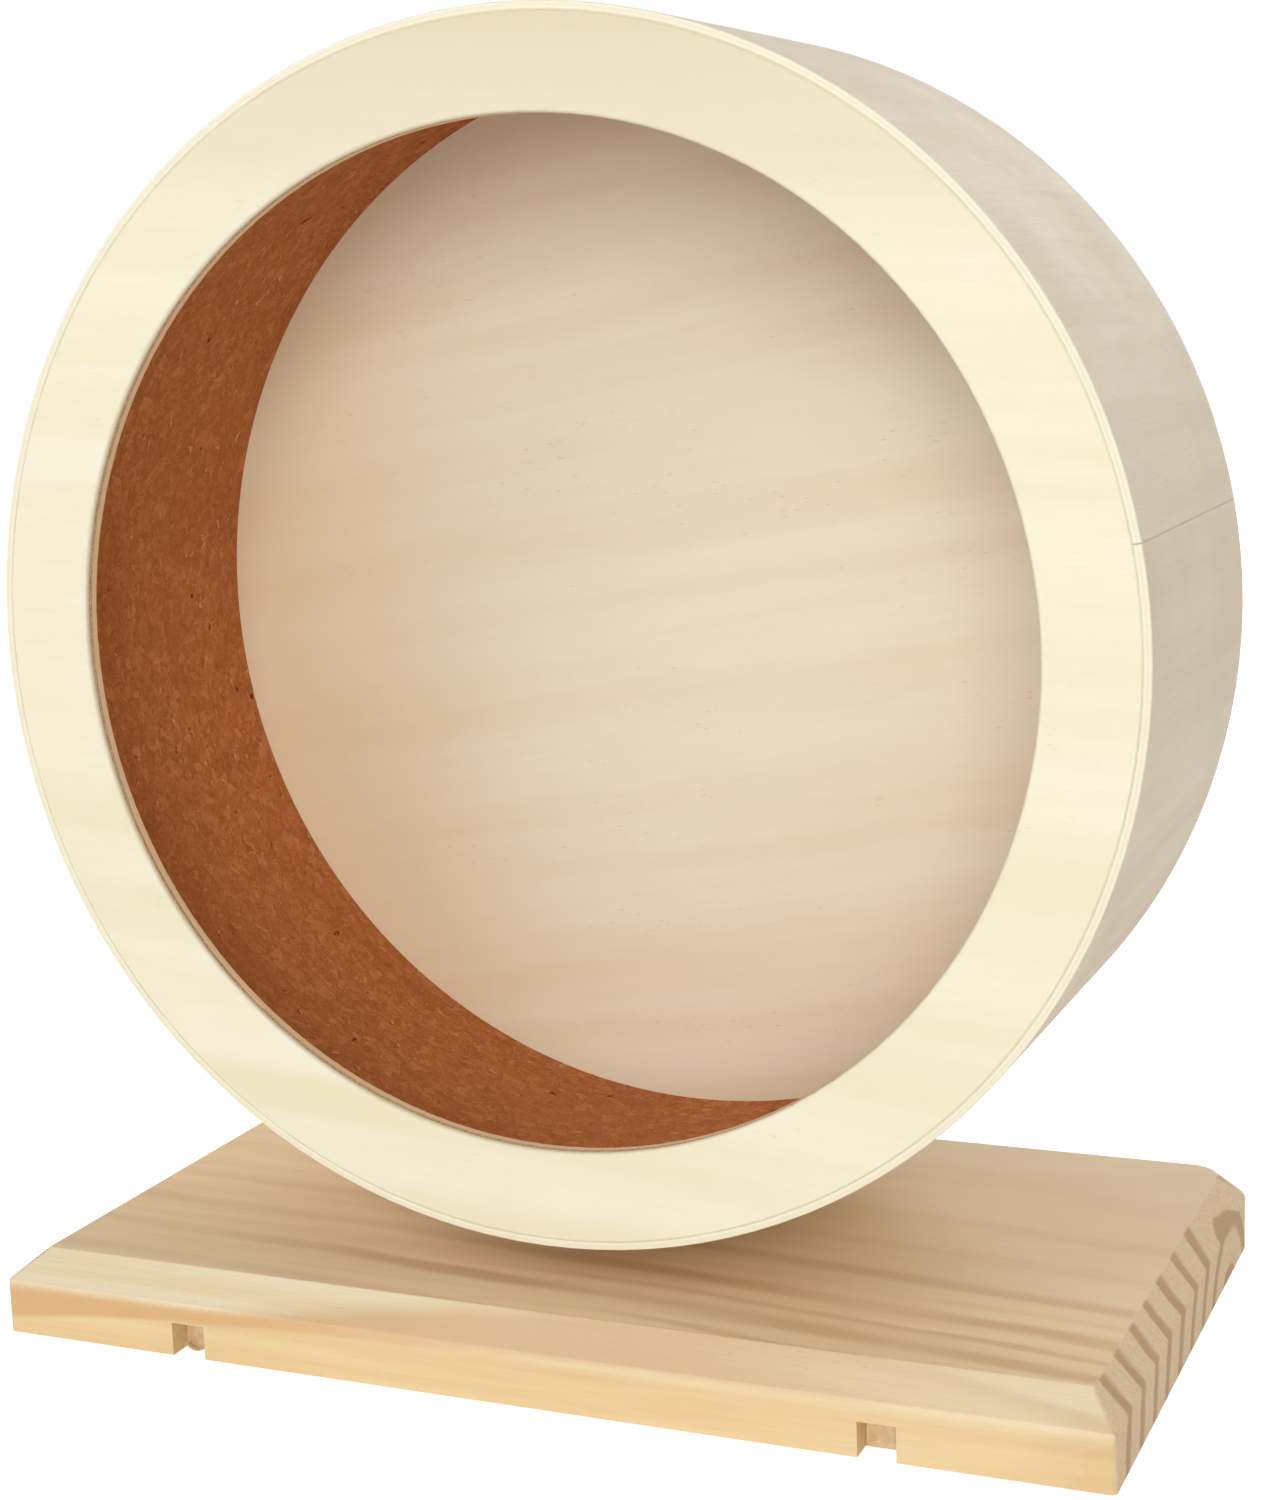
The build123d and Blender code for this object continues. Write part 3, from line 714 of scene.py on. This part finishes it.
def select_edges(piece, test):
    """In edit mode, selects the edges that pass the test."""
    bpy.ops.mesh.select_mode(type="EDGE")
    bpy.ops.mesh.select_all(action="DESELECT")
    mesh = bmesh.from_edit_mesh(piece.data)
    for edge in mesh.edges:
        edge.select = test(edge)
    mesh.select_flush_mode()
    bmesh.update_edit_mesh(piece.data)


def runs_across(edge):
    """Whether an edge runs from the front to the rear."""
    return abs(edge.verts[0].co.y - edge.verts[1].co.y) > 0.05


def apply_modifier(piece, modifier):
    bpy.context.view_layer.objects.active = piece
    bpy.ops.object.modifier_apply(modifier=modifier.name)


def hand_over(piece, finish, body, slot_name, *stands_for):
    piece.data.materials.clear()
    piece.data.materials.append(finish)
    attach(piece, body)
    if stands_for:
        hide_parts(*stands_for)


def make_cork_strip():
    """The cork strip, swept round from one side of its seam to the other, with a lightly granular face."""
    steps = 420
    gap = cork_seam_gap / cork_inside
    start = math.radians(cork_seam_angle) + gap / 2
    outward = Vector((math.cos(start), 0.0, math.sin(start)))
    middle = axle_place + outward * (cork_inside + cork_outside) / 2 * MM
    middle.y = (cork_front + cork_rear) / 2 * MM
    deselect_all()
    bpy.ops.mesh.primitive_plane_add(size=1.0, location=middle, rotation=(0.0, -start, 0.0))
    plane = bpy.context.object
    plane.scale = ((cork_outside - cork_inside) * MM, (cork_rear - cork_front) * MM, 1.0)
    strip = begin("cork_strip")
    bpy.ops.object.mode_set(mode="EDIT")
    select_edges(strip, runs_across)
    bpy.ops.mesh.subdivide(number_cuts=42)
    bpy.ops.mesh.select_all(action="SELECT")
    bpy.ops.mesh.spin(
        steps=steps, angle=2 * math.pi - gap, center=axle_place, axis=(0.0, -1.0, 0.0), use_normal_flip=False,
    )
    bpy.ops.mesh.select_all(action="SELECT")
    bpy.ops.mesh.remove_doubles(threshold=0.00001)
    bpy.ops.mesh.normals_make_consistent(inside=False)
    bpy.ops.object.mode_set(mode="OBJECT")
    face = strip.vertex_groups.new(name="running_face")
    axis_distance = [Vector((v.co.x, 0.0, v.co.z - axle_place.z)).length / MM for v in strip.data.vertices]
    inside = [v.index for v, r in zip(strip.data.vertices, axis_distance)
              if r < cork_inside + 0.2 and cork_front + 0.5 < v.co.y / MM < cork_rear - 0.5]
    face.add(inside, 1.0, "REPLACE")
    granules = bpy.data.textures.new("cork_granules", "VORONOI")
    granules.noise_scale = 0.0052
    granules.distance_metric = "DISTANCE_SQUARED"
    swell = bpy.data.textures.new("cork_swell", "CLOUDS")
    swell.noise_scale = 0.03
    for texture, strength in ((granules, 0.00022), (swell, 0.0003)):
        modifier = strip.modifiers.new(texture.name, "DISPLACE")
        modifier.texture = texture
        modifier.texture_coords = "LOCAL"
        modifier.mid_level = 1.0
        modifier.strength = strength
        modifier.vertex_group = "running_face"
        apply_modifier(strip, modifier)
    bpy.ops.object.shade_smooth_by_angle(angle=math.radians(40))
    hand_over(strip, cork_finish, "wheel", "cork", "cork_lining")


def make_glue_bead():
    """Glue dried in the groove between the front ring and the hoop, thicker in some places than in others."""
    deselect_all()
    bpy.ops.mesh.primitive_torus_add(
        major_segments=360, minor_segments=8, major_radius=cork_outside * MM, minor_radius=0.44 * MM,
        location=(0.0, (drum_front + 0.46) * MM, axle_place.z), rotation=(math.pi / 2, 0.0, 0.0),
    )
    bead = begin("joint_glue")
    run = bpy.data.textures.new("glue_run", "CLOUDS")
    run.noise_scale = 0.012
    modifier = bead.modifiers.new("glue_run", "DISPLACE")
    modifier.texture = run
    modifier.texture_coords = "LOCAL"
    modifier.mid_level = 0.9
    modifier.strength = 0.00025
    apply_modifier(bead, modifier)
    bpy.ops.object.shade_smooth_by_angle(angle=math.radians(60))
    hand_over(bead, glue_finish, "wheel", "nylon")


def make_seam_filler():
    """A sliver of filler in the hoop's butt seam, sunk a little and uneven along its length."""
    angle = math.radians(band_seam_angle)
    outward = Vector((math.cos(angle), 0.0, math.sin(angle)))
    middle = axle_place + outward * (band_inside + 1.0) * MM
    middle.y = (drum_front + drum_rear) / 2 * MM
    deselect_all()
    bpy.ops.mesh.primitive_cube_add(size=1.0, location=middle, rotation=(0.0, -angle, 0.0))
    block = bpy.context.object
    block.scale = (1.94 * MM, (drum_rear - drum_front - 1.0) * MM, 0.33 * MM)
    filler = begin("seam_filler")
    bpy.ops.object.mode_set(mode="EDIT")
    select_edges(filler, runs_across)
    bpy.ops.mesh.subdivide(number_cuts=60)
    bpy.ops.object.mode_set(mode="OBJECT")
    sunk = bpy.data.textures.new("filler_level", "CLOUDS")
    sunk.noise_scale = 0.009
    outer = filler.vertex_groups.new(name="outer_face")
    radii = [Vector((v.co.x, 0.0, v.co.z - axle_place.z)).length / MM for v in filler.data.vertices]
    outer.add([v.index for v, r in zip(filler.data.vertices, radii) if r > band_inside + 1.0], 1.0, "REPLACE")
    modifier = filler.modifiers.new("filler_level", "DISPLACE")
    modifier.texture = sunk
    modifier.texture_coords = "LOCAL"
    modifier.mid_level = 1.0
    modifier.strength = 0.0001
    modifier.vertex_group = "outer_face"
    apply_modifier(filler, modifier)
    hand_over(filler, glue_finish, "wheel", "nylon")


def make_splinter():
    """A curled splinter left where the left groove was cut, hanging on the groove's right side."""
    left_batten = -batten_half_spread
    thickness = 0.45
    width = 2.2
    foot = ((left_batten + 3.3) * MM, (batten_front - 3.9) * MM, 2.2 * MM)
    curl_centre = ((left_batten + 1.3) * MM, 0.0, 4.4 * MM)
    curl = 1.9
    deselect_all()
    bpy.ops.mesh.primitive_plane_add(size=1.0, location=foot, rotation=(0.0, 0.8, 0.0))
    plane = bpy.context.object
    plane.scale = (thickness * MM, width * MM, 1.0)
    splinter = begin("groove_splinter")
    bpy.ops.object.mode_set(mode="EDIT")
    bpy.ops.mesh.select_all(action="SELECT")
    bpy.ops.mesh.spin(steps=14, angle=curl, center=curl_centre, axis=(0.0, -1.0, 0.0), use_normal_flip=False)
    bpy.ops.mesh.select_all(action="SELECT")
    bpy.ops.mesh.remove_doubles(threshold=0.00001)
    bpy.ops.mesh.normals_make_consistent(inside=False)
    bpy.ops.object.mode_set(mode="OBJECT")
    frayed = bpy.data.textures.new("frayed", "CLOUDS")
    frayed.noise_scale = 0.0016
    modifier = splinter.modifiers.new("frayed", "DISPLACE")
    modifier.texture = frayed
    modifier.texture_coords = "LOCAL"
    modifier.strength = 0.0007
    apply_modifier(splinter, modifier)
    modifier = splinter.modifiers.new("softened", "SUBSURF")
    modifier.levels = modifier.render_levels = 2
    apply_modifier(splinter, modifier)
    bpy.ops.object.shade_smooth_by_angle(angle=math.radians(50))
    hand_over(splinter, beech_strip, "stand", "pine")


make_cork_strip()
make_glue_bead()
make_seam_filler()
make_splinter()


# Floor, light and camera

def make_floor():
    deselect_all()
    bpy.ops.mesh.primitive_plane_add(size=8.0, location=(0.0, 0.0, -0.0002))
    floor = begin("floor")
    material = bpy.data.materials.new("studio_floor")
    material.use_nodes = True
    bench = Bench(material.node_tree)
    shader = material.node_tree.nodes["Principled BSDF"]
    shader.inputs["Base Color"].default_value = (0.93, 0.93, 0.93, 1.0)
    shader.inputs["Roughness"].default_value = 0.8
    shader.inputs["Specular IOR Level"].default_value = 0.1
    paths = bench.add("ShaderNodeLightPath").outputs
    seen = bench.math("MAXIMUM", paths["Is Camera Ray"], paths["Is Glossy Ray"])
    seen = bench.math("MAXIMUM", seen, paths["Is Transmission Ray"])
    shader.inputs["Emission Color"].default_value = (1.0, 1.0, 1.0, 1.0)
    bench.put(shader.inputs["Emission Strength"], bench.math("MULTIPLY", seen, 0.68))
    floor.data.materials.append(material)


def make_lamp(name, place, aim, size, power):
    data = bpy.data.lights.new(name, "AREA")
    data.shape = "SQUARE"
    data.size = size
    data.energy = power
    lamp = bpy.data.objects.new(name, data)
    bpy.context.scene.collection.objects.link(lamp)
    lamp.location = place
    lamp.rotation_mode = "QUATERNION"
    lamp.rotation_quaternion = (Vector(aim) - Vector(place)).to_track_quat("-Z", "Y")


def make_world():
    world = bpy.data.worlds.new("studio")
    world.use_nodes = True
    bench = Bench(world.node_tree)
    background = world.node_tree.nodes["Background"]
    paths = bench.add("ShaderNodeLightPath").outputs
    seen = bench.math("MAXIMUM", paths["Is Camera Ray"], paths["Is Glossy Ray"])
    seen = bench.math("MAXIMUM", seen, paths["Is Transmission Ray"])
    bench.put(background.inputs["Color"], (1.0, 1.0, 1.0, 1.0))
    bench.put(background.inputs["Strength"], bench.math("MULTIPLY_ADD", seen, 0.6, 0.4))
    bpy.context.scene.world = world


def make_camera():
    data = bpy.data.cameras.new("camera")
    data.sensor_fit = "AUTO"
    data.sensor_width = 36.0
    data.lens = 62.857
    data.clip_start = 0.01
    data.clip_end = 50.0
    camera = bpy.data.objects.new("camera", data)
    bpy.context.scene.collection.objects.link(camera)
    right = Vector((0.919986, 0.390448, -0.034291))
    up = Vector((-0.037594, 0.174987, 0.983853))
    back = Vector((0.390144, -0.903842, 0.175664))
    camera.matrix_world = Matrix.Translation((0.25906, -0.60004, 0.25830)) @ Matrix(
        ((right.x, up.x, back.x), (right.y, up.y, back.y), (right.z, up.z, back.z))
    ).to_4x4()
    bpy.context.scene.camera = camera


make_floor()
make_lamp("key", (0.57, -2.03, 0.64), aim=(0.0, 0.0, 0.16), size=0.95, power=19.0)
make_lamp("left", (-1.2, -1.6, 1.5), aim=(0.0, 0.0, 0.14), size=1.1, power=10.0)
make_lamp("rear", (0.5, 1.8, 1.2), aim=(0.0, 0.0, 0.15), size=1.4, power=14.0)
make_world()
make_camera()
bpy.context.scene.view_settings.view_transform = "Standard"
